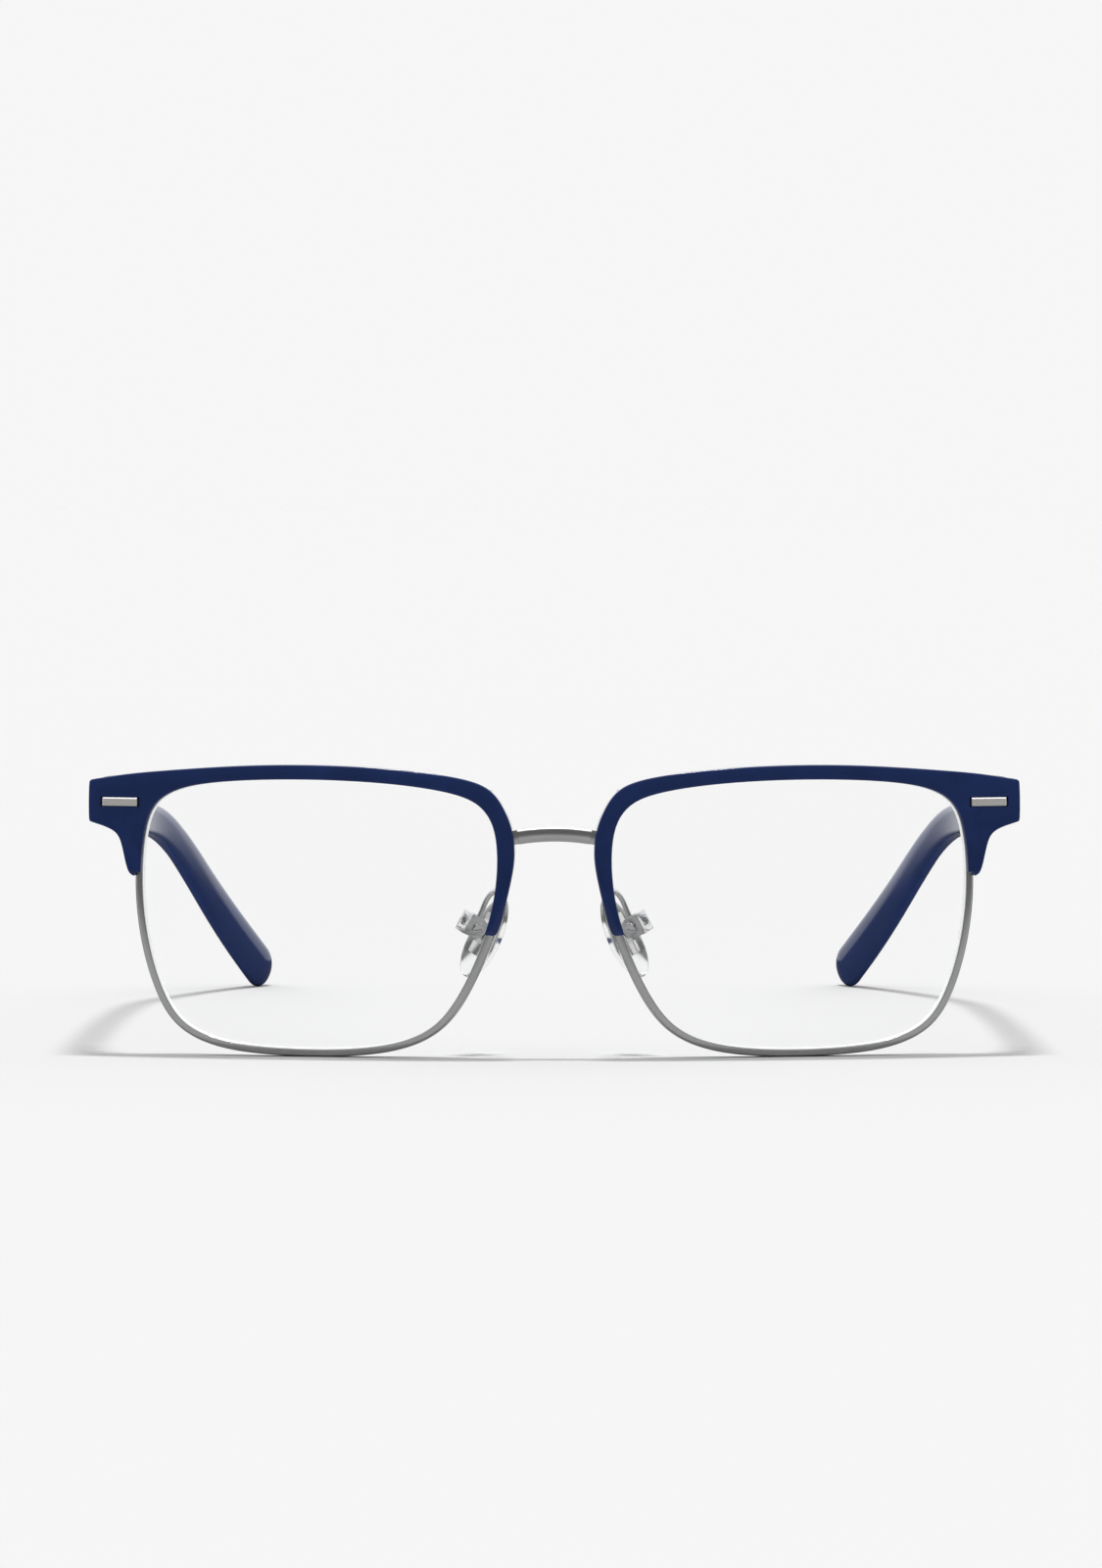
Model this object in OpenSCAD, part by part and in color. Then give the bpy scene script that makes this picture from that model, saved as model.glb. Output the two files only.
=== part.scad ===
// Browline eyeglasses: full metal eyewires behind glossy brow pieces, with folding
// temples and rocking nose pads. X runs across the face, Y back towards the ears, Z up.
// The frame stands open on a table: the rims and the temple tips touch Z = 0.

/* [Front] */
// Gap between the two lens openings at the nose
bridge_gap = 17.2; // [16:0.2:20]
// Face-form angle: how far each lens turns back at the temple
face_form = 8; // [6:0.5:9]
// Radius of the sphere that the lenses and rims follow
base_radius = 180; // [150:5:260]
// Width of the metal rim as seen from the front
rim_width = 1.15; // [1:0.05:1.3]
// Depth of the metal rim from front to back
rim_depth = 2.2; // [2:0.1:2.4]
// How far the brow's front wall stands before the rim
brow_front = 1.6; // [1.4:0.1:2]
// Height of the bridge bar
bridge_height = 2.2; // [1.8:0.1:2.4]
// Length of the metal inlay bar on each end piece
inlay_length = 5.9; // [5:0.1:6.1]

/* [Temples] */
// Half thickness of the temple at the hinge
temple_half_thickness = 1.4; // [1.3:0.05:1.4]
// Half height of the temple at the hinge
temple_half_height = 2.5; // [2.3:0.1:2.6]
// Half height of the rounded ear piece at the tip
tip_half_height = 3.3; // [3:0.1:3.4]
// Slope of the temple shaft, down towards the ear
shaft_slope = 4.3; // [3.5:0.1:5]

/* [Hinges] */
// Outer radius of the hinge barrels
barrel_r = 1.15; // [1.05:0.05:1.15]
// Radius of the hinge screw's shank
hinge_screw_r = 0.7; // [0.6:0.05:0.7]
// Running clearance round the hinge screw
hinge_clearance = 0.04; // [0.03:0.01:0.06]

/* [Nose pads] */
// Lean of the pads, top towards the nose
pad_lean = 27; // [22:1:30]
// Turn of the pads, bearing face towards the wearer
pad_splay = 33; // [28:1:38]
// Length of a silicone pad
pad_length = 13.2; // [12:0.2:14]
// Width of a silicone pad
pad_width = 7.2; // [6.6:0.2:7.8]

/* [Hidden] */
$fn = 96;

// The front plane sits this far before the origin, which is midway between front and tips
front_y = -70.82;
// Height of the lens centre above the table
lens_z = 21.56;
// The lens opening is this far each side of its centre
half_opening = 27.0;
lens_x = bridge_gap / 2 + half_opening * cos(face_form);
lens_y = half_opening * sin(face_form) - (base_radius - sqrt(pow(base_radius, 2) - pow(half_opening, 2)));

// Groove in the rim and the lens bead that sits in it
groove_depth = 0.55;
groove_front = 0.4;
groove_back = 1.8;
bead_play = 0.1;

// Brow section: gap before the rim, back of the flange, and the channel round the rim
brow_gap = 0.1;
brow_back = 2.0;
channel = rim_width + 0.1;

// Hinge axis and the plane where the temple butts on the end piece
hinge_x = 66;
hinge_y = 14.5;
hinge_z = 37.06;
axis_lean = 2;
hinge_rise = 0.4;
butt_y = -1.2;
step_y = -2.2;
// Front of the end piece: its inner part lies deeper than the part behind the butt
plate_inner_y = -3.2;
plate_outer_y = -2.3;
plate_inner_x = 2.0;
plate_step_x = 1.3;
barrel_gap = 0.06;
knuckle_half = 1.2;
hinge_half = 3.0;

// Temple screws, measured back from the hinge axis and down from the shaft's middle
temple_screw_y = [4.2, 8.0];
temple_screw_z = -0.9;
temple_screw_r = 0.5;

// Core wire: half height, half thickness, and how far it runs above the screws
core_half_height = 0.8;
core_half_thickness = 0.5;
core_rise = 1.1;
core_play = 0.03;

// Corners in each ring of a temple and of its core wire
temple_corners = 16;

// Brow screw behind the temple's butt, in the shaft frame
butt_screw_x = 3.0;
butt_screw_z = 0.6;
butt_screw_r = 0.5;

// Nose pad centre, and its screw measured from there along the pad
pad_centre = [10.3, 9.0, 17.46];
pad_axis_up = 0.9;
pad_axis_depth = -3.0;
pad_screw_r = 0.45;
lug_half = 0.6;

// Lens opening, from the temple side down, round the nose and over the top
opening = [[27.1, 4.4], [26.1, -4.8], [23.6, -12.6], [20.2, -17.0], [14.2, -19.4], [6, -20.25],
           [-2.5, -20.35], [-10.2, -19.6], [-16.2, -17.5], [-20.2, -13.4], [-23.4, -7.2],
           [-25.8, -0.6], [-26.85, 6], [-26.55, 12], [-24.6, 15.7], [-20.6, 17.85],
           [-12, 19.3], [-1, 19.95], [10, 19.85], [18.6, 19.05], [23.6, 17.2], [26.3, 13.4]];

// Where the brow's two legs end, counted in points along the opening
brow_starts = 10.65;
brow_ends = 21.85;

// Outer edge of the brow: nose leg and top, then the lower edge from end piece to leg
brow_top = [[-25.6, -3.0], [-26.6, -3.1], [-27.3, -2.0], [-28.1, 1.2], [-29.0, 5.2], [-29.5, 9.0],
            [-29.1, 12.6], [-27.9, 15.6], [-26.2, 18.1], [-23.2, 19.8], [-17, 21.0],
            [-8, 21.85], [2, 22.2], [12, 22.0], [22, 21.3], [29, 20.65], [35.0, 19.7]];
brow_lower = [[34.9, 13.3], [32.6, 12.6], [31.0, 11.7], [30.2, 10.2], [29.6, 7.8], [29.0, 5.9],
              [28.2, 5.4]];

// Temple centre line: across, back, up, half height, half thickness
temple_path = [[68.9, 13.45, 37.14, temple_half_height, temple_half_thickness],
               [68.9, 27, 36.12, temple_half_height, temple_half_thickness],
               [68.8, 42, 34.99, 2.45, 1.38],
               [68.6, 57, 33.86, 2.4, 1.35],
               [68.2, 72, 32.73, 2.4, 1.32],
               [67.5, 86, 31.65, 2.45, 1.3],
               [66.5, 97, 30.65, 2.6, 1.3],
               [65.0, 105, 29.25, 2.85, 1.32],
               [62.8, 112, 26.2, 3.1, 1.36],
               [60.0, 119, 20.9, 3.25, 1.4],
               [57.1, 126, 15.1, tip_half_height, 1.4],
               [54.2, 133, 9.3, tip_half_height, 1.4],
               [51.7, 139, 4.1, tip_half_height, 1.4]];

// Centre line of the wire that carries a nose pad, from the rim to the pad box
arm_path = [[8.05, 2.24, 23.7], [8.05, 3.6, 24.2], [8.6, 5.2, 24.7], [9.4, 6.3, 24.4],
            [10.2, 6.8, 23.3], [10.75, 6.9, 22.0], [11.3, 6.9, 20.8]];
arm_r = 0.5;

// ---- curves -------------------------------------------------------------------

// Point i of a list that closes on itself
function ring_knot(list, i) = list[(i + len(list)) % len(list)];

// Point i of an open list, carried on in a straight line past both ends
function open_knot(list, i) =
    let (last = len(list) - 1)
    i < 0 ? list[0] + i * (list[1] - list[0])
    : i > last ? list[last] + (i - last) * (list[last] - list[last - 1])
    : list[i];

// Control point that makes a cubic B-spline pass by knot b, between a and c
function control(a, b, c) = b - (a - 2 * b + c) / 6;

function b_spline(a, b, c, d, t) =
    (pow(1 - t, 3) * a + (3 * pow(t, 3) - 6 * t * t + 4) * b
     + (-3 * pow(t, 3) + 3 * t * t + 3 * t + 1) * c + pow(t, 3) * d) / 6;

function b_slope(a, b, c, d, t) =
    (-pow(1 - t, 2) * a + (3 * t * t - 4 * t) * b + (-3 * t * t + 2 * t + 1) * c + t * t * d) / 2;

// The four control points round place s on a closed list
function ring_controls(list, s) =
    [for (j = [-1:2])
        let (i = floor(s) + j)
        control(ring_knot(list, i - 1), ring_knot(list, i), ring_knot(list, i + 1))];

function open_controls(list, s) =
    [for (j = [-1:2])
        let (i = floor(s) + j)
        control(open_knot(list, i - 1), open_knot(list, i), open_knot(list, i + 1))];

function open_point(list, s) =
    let (q = open_controls(list, s))
    b_spline(q[0], q[1], q[2], q[3], s - floor(s));

function open_slope(list, s) =
    let (q = open_controls(list, s))
    b_slope(q[0], q[1], q[2], q[3], s - floor(s));

// Point s of the lens opening, moved outwards by r
function opening_point(s, r) =
    let (q = ring_controls(opening, s))
    let (t = s - floor(s))
    let (d = b_slope(q[0], q[1], q[2], q[3], t))
    b_spline(q[0], q[1], q[2], q[3], t) + r * [-d[1], d[0]] / norm(d);

function opening_outline(r) = [for (i = [0:len(opening) * 4 - 1]) opening_point(i / 4, r)];

function curve(list, steps) = [for (i = [0:(len(list) - 1) * steps]) open_point(list, i / steps)];

// Brow outline: top edge, end piece, lower edge, then back along the opening
function brow_outline() =
    concat(curve(brow_top, 3), [[35.4, 19.3], [35.45, 16.5], [35.35, 13.6]], curve(brow_lower, 3),
           [[27.4, 5.5]],
           [for (s = [brow_ends:-0.25:brow_starts]) opening_point(s, 0.02)]);

// ---- placing ------------------------------------------------------------------

// side 1 is the wearer's left, at +X, and side -1 its mirror image
module on_side(side) {
    translate([0, front_y, 0])
        mirror([side < 0 ? 1 : 0, 0, 0])
            children();
}

// Lens frame: x towards the temple, y back, z up, origin at the front of the lens centre
module at_lens() {
    translate([lens_x, lens_y, lens_z])
        rotate([0, 0, face_form])
            children();
}

// Hinge frame: z along the hinge axis, from the middle of the barrels
module at_hinge() {
    translate([hinge_x, hinge_y, hinge_z])
        rotate([-axis_lean, 0, 0])
            translate([0, 0, hinge_rise])
                children();
}

// Shaft frame: y along the temple shaft from the hinge axis
module at_shaft() {
    translate([hinge_x, hinge_y, hinge_z])
        rotate([-shaft_slope, 0, 0])
            children();
}

// Pad frame: x across the pad towards the front, y up along it, z out of its bearing face
module at_pad() {
    translate(pad_centre)
        rotate([0, -pad_lean, 0])
            rotate([90, 0, -90 - pad_splay])
                children();
}

module along_x(from, to, r) {
    translate([from, 0, 0])
        rotate([0, 90, 0])
            cylinder(h = to - from, r = r);
}

module along_y(from, to, r) {
    translate([0, from, 0])
        rotate([-90, 0, 0])
            cylinder(h = to - from, r = r);
}

module block(low, high) {
    translate(low)
        cube(high - low);
}

// ---- building blocks of the front -----------------------------------------------

// An outline carried straight through the front
module prism(outline) {
    translate([0, 30, 0])
        rotate([90, 0, 0])
            linear_extrude(height = 60)
                polygon(outline);
}

// Everything behind the lens sphere moved back by depth
module behind(depth) {
    translate([0, base_radius + depth, 0])
        sphere(r = base_radius, $fn = 360);
}

// An outline kept between two depths behind the lens sphere
module slab(outline, front, back) {
    difference() {
        intersection() {
            prism(outline);
            behind(front);
        }
        behind(back);
    }
}

function box_outline(low, high) = [low, [high[0], low[1]], high, [low[0], high[1]]];

// Tab on the rim that takes the nasal brow screw: its root on the rim, and its rounded end
tab_root = opening_point(14.25, 0.15);
tab_at = opening_point(14.25, 1.8);
tab_r = 0.98;
tab_turn = atan2(tab_at[1] - tab_root[1], tab_at[0] - tab_root[0]);

function tab_outline() =
    let (across = tab_r * [-sin(tab_turn), cos(tab_turn)])
    concat([for (a = [-90:20:90]) tab_at + tab_r * [cos(tab_turn + a), sin(tab_turn + a)]],
           [tab_root + across, tab_root - across]);

// ---- front ----------------------------------------------------------------------

// Arched bar between the rims, behind the brows
module bridge() {
    arch_r = 34;
    crown_z = 33.46;
    depth = 2.4;
    corner = 0.5;
    inner = arch_r - bridge_height / 2;
    outer = arch_r + bridge_height / 2;
    color("slategray")
        translate([0, front_y, 0])
            difference() {
                translate([0, 0.1 + depth / 2, crown_z - arch_r])
                    rotate([90, 0, 0])
                        rotate([0, 0, 76])
                            rotate_extrude(angle = 28, $fn = 180)
                                polygon([[inner + corner, -depth / 2], [outer - corner, -depth / 2],
                                         [outer, corner - depth / 2], [outer, depth / 2 - corner],
                                         [outer - corner, depth / 2], [inner + corner, depth / 2],
                                         [inner, depth / 2 - corner], [inner, corner - depth / 2]]);
                at_lens()
                    prism(opening_outline(rim_width));
                mirror([1, 0, 0])
                    at_lens()
                        prism(opening_outline(rim_width));
            }
}

// Metal eyewire with its lens groove, the cut that the lock screw closes, and a screw tab
module rim(side) {
    cut_z = 15.2;
    cut_half = 0.15;
    tab_back = 2.75;
    color("slategray")
        on_side(side)
            at_lens()
                difference() {
                    union() {
                        slab(opening_outline(rim_width), 0, rim_depth);
                        slab(tab_outline(), brow_back + 0.03, tab_back);
                    }
                    prism(opening_outline(0));
                    slab(opening_outline(groove_depth), groove_front, groove_back);
                    block([22, -5, cut_z - cut_half], [32, 15, cut_z + cut_half]);
                    translate([tab_at[0], 0, tab_at[1]])
                        along_y(-5, 15, 0.42);
                }
}

module lens(side) {
    color([0.85, 0.9, 0.92, 0.35])
        on_side(side)
            at_lens()
                union() {
                    slab(opening_outline(-0.06), 0.2, rim_depth - 0.2);
                    slab(opening_outline(groove_depth - bead_play),
                         groove_front + bead_play, groove_back - bead_play);
                }
}

// Place of the lock screw in the lens frame
lock_x = 28.9;
lock_y = 4.1;
lock_r = 0.7;

module lock_block(low, high, hole_r, back) {
    difference() {
        slab(box_outline(low, high), 0.1, back);
        prism(opening_outline(rim_width));
        translate([lock_x, lock_y, 0])
            cylinder(h = 40, r = hole_r);
    }
}

// The upper block reaches back to the end piece that it carries
module lock_block_upper(side) {
    color("slategray")
        on_side(side)
            difference() {
                at_lens()
                    lock_block([24.6, 15.35], [30.1, 18.0], lock_r + 0.05, 9);
                at_shaft()
                    block([-20, plate_inner_y, -20], [20, 20, 20]);
            }
}

module lock_block_lower(side) {
    color("slategray")
        on_side(side)
            at_lens()
                lock_block([26.4, 12.6], [30.1, 15.05], lock_r, brow_back);
}

module lock_screw(side) {
    color("silver")
        on_side(side)
            at_lens()
                translate([lock_x, lock_y, 0])
                    union() {
                        translate([0, 0, 12.7])
                            cylinder(h = 5.4, r = lock_r - 0.005);
                        translate([0, 0, 18.02])
                            cylinder(h = 0.6, r = 0.84);
                    }
}

// Brow piece: front wall, flange round the rim, and room for what it covers
module brow(side) {
    pocket_front = -0.9;
    color("midnightblue")
        on_side(side)
            difference() {
                at_lens()
                    difference() {
                        slab(brow_outline(), -brow_front, brow_back);
                        intersection() {
                            prism(opening_outline(channel));
                            behind(-brow_gap);
                        }
                        intersection() {
                            prism(box_outline([24.2, 12.3], [30.4, 19.1]));
                            behind(-brow_gap);
                        }
                        slab(box_outline([30.45 - inlay_length / 2 - 0.35, 15.7],
                                         [30.45 + inlay_length / 2 + 0.35, 17.15]), -5, pocket_front);
                        translate([tab_at[0], 0, tab_at[1]])
                            along_y(2.25, 15, 0.4);
                    }
                block([0, -0.02, 31.2], [8.4, 6, 35.2]);
                at_shaft()
                    union() {
                        block([-20, plate_inner_y, -20], [plate_inner_x + 0.05, 20, 20]);
                        block([plate_inner_x, plate_outer_y, -20], [20, 20, 20]);
                        translate([butt_screw_x, 0, butt_screw_z])
                            along_y(butt_y - 3.5, 4, butt_screw_r + 0.02);
                    }
            }
}

// Two screws that hold a brow: one under the temple's butt, one through the rim's tab
module brow_screws(side) {
    color("silver")
        on_side(side)
            union() {
                at_shaft()
                    translate([butt_screw_x, 0, butt_screw_z])
                        union() {
                            along_y(butt_y - 3.4, butt_y - 0.3, butt_screw_r);
                            along_y(butt_y - 0.5, butt_y - 0.02, 0.8);
                        }
                at_lens()
                    translate([tab_at[0], 0, tab_at[1]])
                        union() {
                            along_y(2.35, 5.7, 0.38);
                            along_y(5.53, 5.93, 0.75);
                        }
            }
}

// Metal bar let into the front of the end piece
module inlay_bar(side) {
    color("silver")
        on_side(side)
            at_lens()
                slab(box_outline([30.45 - inlay_length / 2, 15.8], [30.45 + inlay_length / 2, 17.05]),
                     -brow_front - 0.2, -0.92);
}

// Joggled plate behind the brow, brazed to the lock block: the temple butts on its outer part
module end_piece(side) {
    inner_outline = [[-4.2, -1.6], [-3.8, -2.3], [plate_inner_x, -2.3], [plate_inner_x, 3.7],
                     [-3.6, 4.0], [-4.2, 3.4]];
    outer_outline = [[plate_step_x, -2.3], [3.4, -2.1], [3.8, -1.7], [3.8, 3.1], [3.4, 3.5],
                     [plate_step_x, 3.6]];
    color("slategray")
        on_side(side)
            at_shaft()
                difference() {
                    union() {
                        plate(inner_outline, plate_inner_y, step_y);
                        plate(outer_outline, plate_outer_y, butt_y);
                    }
                    translate([butt_screw_x, 0, butt_screw_z])
                        union() {
                            along_y(-9, 4, butt_screw_r + 0.02);
                            along_y(butt_y - 0.52, 4, 0.82);
                        }
                }
}

// An outline drawn across and up, carried back from one place to another
module plate(outline, from, to) {
    translate([0, to, 0])
        rotate([90, 0, 0])
            linear_extrude(height = to - from)
                polygon(outline);
}

// ---- hinges -----------------------------------------------------------------------

// Leaf on the end piece with the two outer barrels
module hinge_front(side) {
    barrel_h = hinge_half - knuckle_half - barrel_gap;
    color("silver")
        on_side(side)
            difference() {
                union() {
                    at_shaft()
                        block([-2.0, step_y, -2.2], [1.15, step_y + 0.7, 3.6]);
                    at_hinge()
                        for (z = [-hinge_half, knuckle_half + barrel_gap])
                            translate([0, 0, z])
                                union() {
                                    cylinder(h = barrel_h, r = barrel_r);
                                    block([-1.0, step_y + 0.35, 0], [1.0, 0, barrel_h]);
                                }
                }
                at_hinge()
                    cylinder(h = 12, r = hinge_screw_r + 0.01, center = true);
            }
}

// Leaf screwed to the temple with the middle barrel
module hinge_temple(side) {
    leaf_inner = 0.9;
    leaf_outer = 1.68;
    color("silver")
        on_side(side)
            difference() {
                union() {
                    at_hinge()
                        union() {
                            translate([0, 0, -knuckle_half])
                                cylinder(h = 2 * knuckle_half, r = barrel_r);
                            block([0, 0, -knuckle_half], [1.35, 2.6, knuckle_half]);
                        }
                    at_shaft()
                        block([leaf_inner, 1.6, -2.0], [leaf_outer, 10, 2.0]);
                }
                at_hinge()
                    cylinder(h = 12, r = hinge_screw_r + hinge_clearance, center = true);
                at_shaft()
                    for (y = temple_screw_y)
                        translate([0, y, temple_screw_z])
                            along_x(-2, 4, temple_screw_r + 0.02);
            }
}

module hinge_screw(side) {
    color("gainsboro")
        on_side(side)
            at_hinge()
                union() {
                    translate([0, 0, -hinge_half - 0.2])
                        cylinder(h = 2 * hinge_half + 0.3, r = hinge_screw_r);
                    translate([0, 0, hinge_half + 0.01])
                        cylinder(h = 0.55, r = 1.1);
                }
}

// ---- temples ----------------------------------------------------------------------

// Corner of a rounded rectangle: power 5 is nearly square, 2 is an ellipse
function rounded(angle, power) =
    [for (v = [cos(angle), sin(angle)]) sign(v) * pow(abs(v), 2 / power)];

// Ring of corners at place s of a temple's path, moved up by rise and scaled by size
function temple_ring(s, size, power, height, thickness, rise = 0) =
    let (p = open_point(temple_path, s))
    let (d = s == 0 ? [0, cos(shaft_slope), -sin(shaft_slope), 0, 0] : open_slope(temple_path, s))
    let (along = [d[0], d[1], d[2]] / norm([d[0], d[1], d[2]]))
    let (out = cross(along, [0, 0, 1]) / norm(cross(along, [0, 0, 1])))
    let (up = cross(out, along))
    [for (i = [0:temple_corners - 1])
        let (c = rounded(360 * i / temple_corners, power))
        [p[0], p[1], p[2]] + rise * up + size * (c[0] * thickness * out + c[1] * height * up)];

// Triangles between the rings that start at first, each with n corners
function wall_faces(first, rings, n) =
    [for (k = [0:rings - 2], i = [0:n - 1], half = [0, 1])
        let (a = first + k * n + i)
        let (b = first + k * n + (i + 1) % n)
        half == 0 ? [a, a + n, b] : [b, a + n, b + n]];

function cap_faces(first, n) = [for (i = [1:n - 2]) [first, first + i, first + i + 1]];

function flip(faces) = [for (f = faces) [f[0], f[2], f[1]]];

// Closed skin over a list of rings with the same number of corners
module skin(rings) {
    n = len(rings[0]);
    polyhedron(points = [for (ring = rings) each ring],
               faces = concat(wall_faces(0, len(rings), n), cap_faces(0, n),
                              flip(cap_faces((len(rings) - 1) * n, n))));
}

// Closed skin with a blind channel that opens in its first ring
module channelled_skin(rings, channel_rings) {
    n = len(rings[0]);
    inner = len(rings) * n;
    rim_faces = [for (i = [0:n - 1], half = [0, 1])
        let (j = (i + 1) % n)
        half == 0 ? [i, j, inner + i] : [j, inner + j, inner + i]];
    polyhedron(points = [for (ring = concat(rings, channel_rings)) each ring],
               faces = concat(wall_faces(0, len(rings), n), flip(cap_faces(inner - n, n)), rim_faces,
                              flip(wall_faces(inner, len(channel_rings), n)),
                              cap_faces(inner + (len(channel_rings) - 1) * n, n)));
}

// Outside of a temple: nearly square at the hinge, rounder at the tip, with a domed end
function shell_power(s) = s < 5 ? 4.5 : max(2.6, 4.5 - 0.5 * (s - 5));

function shell_rings() =
    let (last = len(temple_path) - 1)
    let (dome = 0.62)
    concat(
        [for (k = [0:4 * last])
            let (s = k / 4)
            let (p = open_point(temple_path, s))
            temple_ring(s, 1, shell_power(s), p[3], p[4])],
        [for (a = [15, 30, 45, 60, 72, 82])
            temple_ring(last + dome * sin(a), cos(a), shell_power(last), tip_half_height, 1.4)]);

// Stiffening wire, which runs above the hinge screws and then along the middle
function core_rings(play) =
    let (steps = 26)
    [for (k = [0:steps])
        let (s = (len(temple_path) - 2) * k / steps + (k == steps ? play / 7 : 0))
        temple_ring(s, 1, 2.2, core_half_height + play, core_half_thickness + play,
                    core_rise * max(0, 1 - s / 3))];

module temple(side) {
    color("midnightblue")
        on_side(side)
            difference() {
                channelled_skin(shell_rings(), core_rings(core_play));
                at_shaft()
                    block([0, 1.45, -2.1], [1.7, 10.15, 2.1]);
                at_shaft()
                    for (y = temple_screw_y)
                        translate([0, y, temple_screw_z])
                            along_x(0, 3.3, temple_screw_r + 0.02);
            }
}

module core_wire(side) {
    color("silver")
        on_side(side)
            skin(core_rings(0));
}

// Two short screws through the hinge leaf into the temple
module temple_screws(side) {
    color("gainsboro")
        on_side(side)
            at_shaft()
                for (y = temple_screw_y)
                    translate([0, y, temple_screw_z])
                        union() {
                            along_x(0.6, 3.2, temple_screw_r);
                            along_x(0.5, 0.88, 0.8);
                        }
}

// ---- nose pads ----------------------------------------------------------------------

module pad_arm(side) {
    corners = 10;
    steps = 4;
    last = (len(arm_path) - 1) * steps;
    rings = [for (k = [0:last])
        let (d = k == 0 ? [-sin(face_form), cos(face_form), 0]
                 : k == last ? [sin(pad_lean), 0, -cos(pad_lean)]
                 : open_slope(arm_path, k / steps))
        let (along = d / norm(d))
        let (across = cross(along, [1, 0, 0.3]) / norm(cross(along, [1, 0, 0.3])))
        let (third = cross(across, along))
        [for (i = [0:corners - 1])
            open_point(arm_path, k / steps)
            + arm_r * (cos(360 * i / corners) * across + sin(360 * i / corners) * third)]];
    color("silver")
        on_side(side)
            skin(rings);
}

module at_pad_axis() {
    at_pad()
        translate([0, pad_axis_up, pad_axis_depth])
            children();
}

// Small box with two cheeks that carries the pad's lug on its screw
module pad_box(side) {
    half = 1.35;
    box_r = 1.6;
    color("slategray")
        on_side(side)
            at_pad_axis()
                difference() {
                    union() {
                        along_x(-half, half, box_r);
                        block([-half, -box_r, -1.9], [half, box_r, 0]);
                    }
                    block([-lug_half - 0.12, -5, -1.15], [lug_half + 0.12, 5, 5]);
                    along_x(-5, 5, pad_screw_r + 0.01);
                    for (x = [-0.35, 0.35])
                        translate([x, 0, -3])
                            cylinder(h = 1.6, r = 0.55);
                    block([-0.35, -0.55, -3], [0.35, 0.55, -1.4]);
                }
}

module pad_screw(side) {
    color("gainsboro")
        on_side(side)
            at_pad_axis()
                union() {
                    along_x(-1.35, 1.4, pad_screw_r);
                    along_x(1.36, 1.75, 0.85);
                }
}

// Metal plate moulded into the pad, with the lug that turns on the pad screw
module pad_insert(side) {
    color("silver")
        on_side(side)
            difference() {
                union() {
                    at_pad()
                        block([-1.15, -3.0, -1.08], [1.15, 3.6, -0.52]);
                    at_pad_axis()
                        union() {
                            along_x(-lug_half, lug_half, 0.95);
                            block([-lug_half, -0.95, 0], [lug_half, 0.95, 2.2]);
                        }
                }
                at_pad_axis()
                    along_x(-5, 5, pad_screw_r + 0.05);
            }
}

// Clear silicone pad: an egg outline between two shallow spheres
module pad(side) {
    face_r = 30;
    back_r = 60;
    face_z = 1.0;
    back_z = -1.1;
    outline = [for (a = [0:10:350])
        [pad_width / 2 * cos(a) * (1 - 0.14 * sin(a)), pad_length / 2 * sin(a)]];
    color([0.92, 0.94, 0.96, 0.5])
        on_side(side)
            at_pad()
                difference() {
                    intersection() {
                        translate([0, 0, -3])
                            linear_extrude(height = 6)
                                polygon(outline);
                        translate([0, 0, face_z - face_r])
                            sphere(r = face_r, $fn = 180);
                        translate([0, 0, back_z + back_r])
                            sphere(r = back_r, $fn = 180);
                    }
                    block([-1.17, -3.02, -3], [1.17, 3.62, -0.5]);
                }
}

bridge();
rim(1);  // left_rim
lock_block_upper(1);  // left_lock_block_upper
lock_block_lower(1);  // left_lock_block_lower
lock_screw(1);  // left_lock_screw
lens(1);  // left_lens
brow(1);  // left_brow
brow_screws(1);  // left_brow_screws
end_piece(1);  // left_end_piece
inlay_bar(1);  // left_inlay_bar
hinge_front(1);  // left_hinge_front
hinge_screw(1);  // left_hinge_screw
hinge_temple(1);  // left_hinge_temple
temple(1);  // left_temple
temple_screws(1);  // left_temple_screws
core_wire(1);  // left_core_wire
pad_arm(1);  // left_pad_arm
pad_box(1);  // left_pad_box
pad_screw(1);  // left_pad_screw
pad(1);  // left_pad
pad_insert(1);  // left_pad_insert
rim(-1);  // right_rim
lock_block_upper(-1);  // right_lock_block_upper
lock_block_lower(-1);  // right_lock_block_lower
lock_screw(-1);  // right_lock_screw
lens(-1);  // right_lens
brow(-1);  // right_brow
brow_screws(-1);  // right_brow_screws
end_piece(-1);  // right_end_piece
inlay_bar(-1);  // right_inlay_bar
hinge_front(-1);  // right_hinge_front
hinge_screw(-1);  // right_hinge_screw
hinge_temple(-1);  // right_hinge_temple
temple(-1);  // right_temple
temple_screws(-1);  // right_temple_screws
core_wire(-1);  // right_core_wire
pad_arm(-1);  // right_pad_arm
pad_box(-1);  // right_pad_box
pad_screw(-1);  // right_pad_screw
pad(-1);  // right_pad
pad_insert(-1);  // right_pad_insert
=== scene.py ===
"""Browline eyeglasses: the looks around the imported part, its light and its camera.

Lengths are millimetres until a mesh is written. Front frame: X across to the wearer's left,
Y back from the front plane, Z up from the table. A shape is worked out once, on the wearer's
left, and mirrored for the right.
"""
import math

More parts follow.
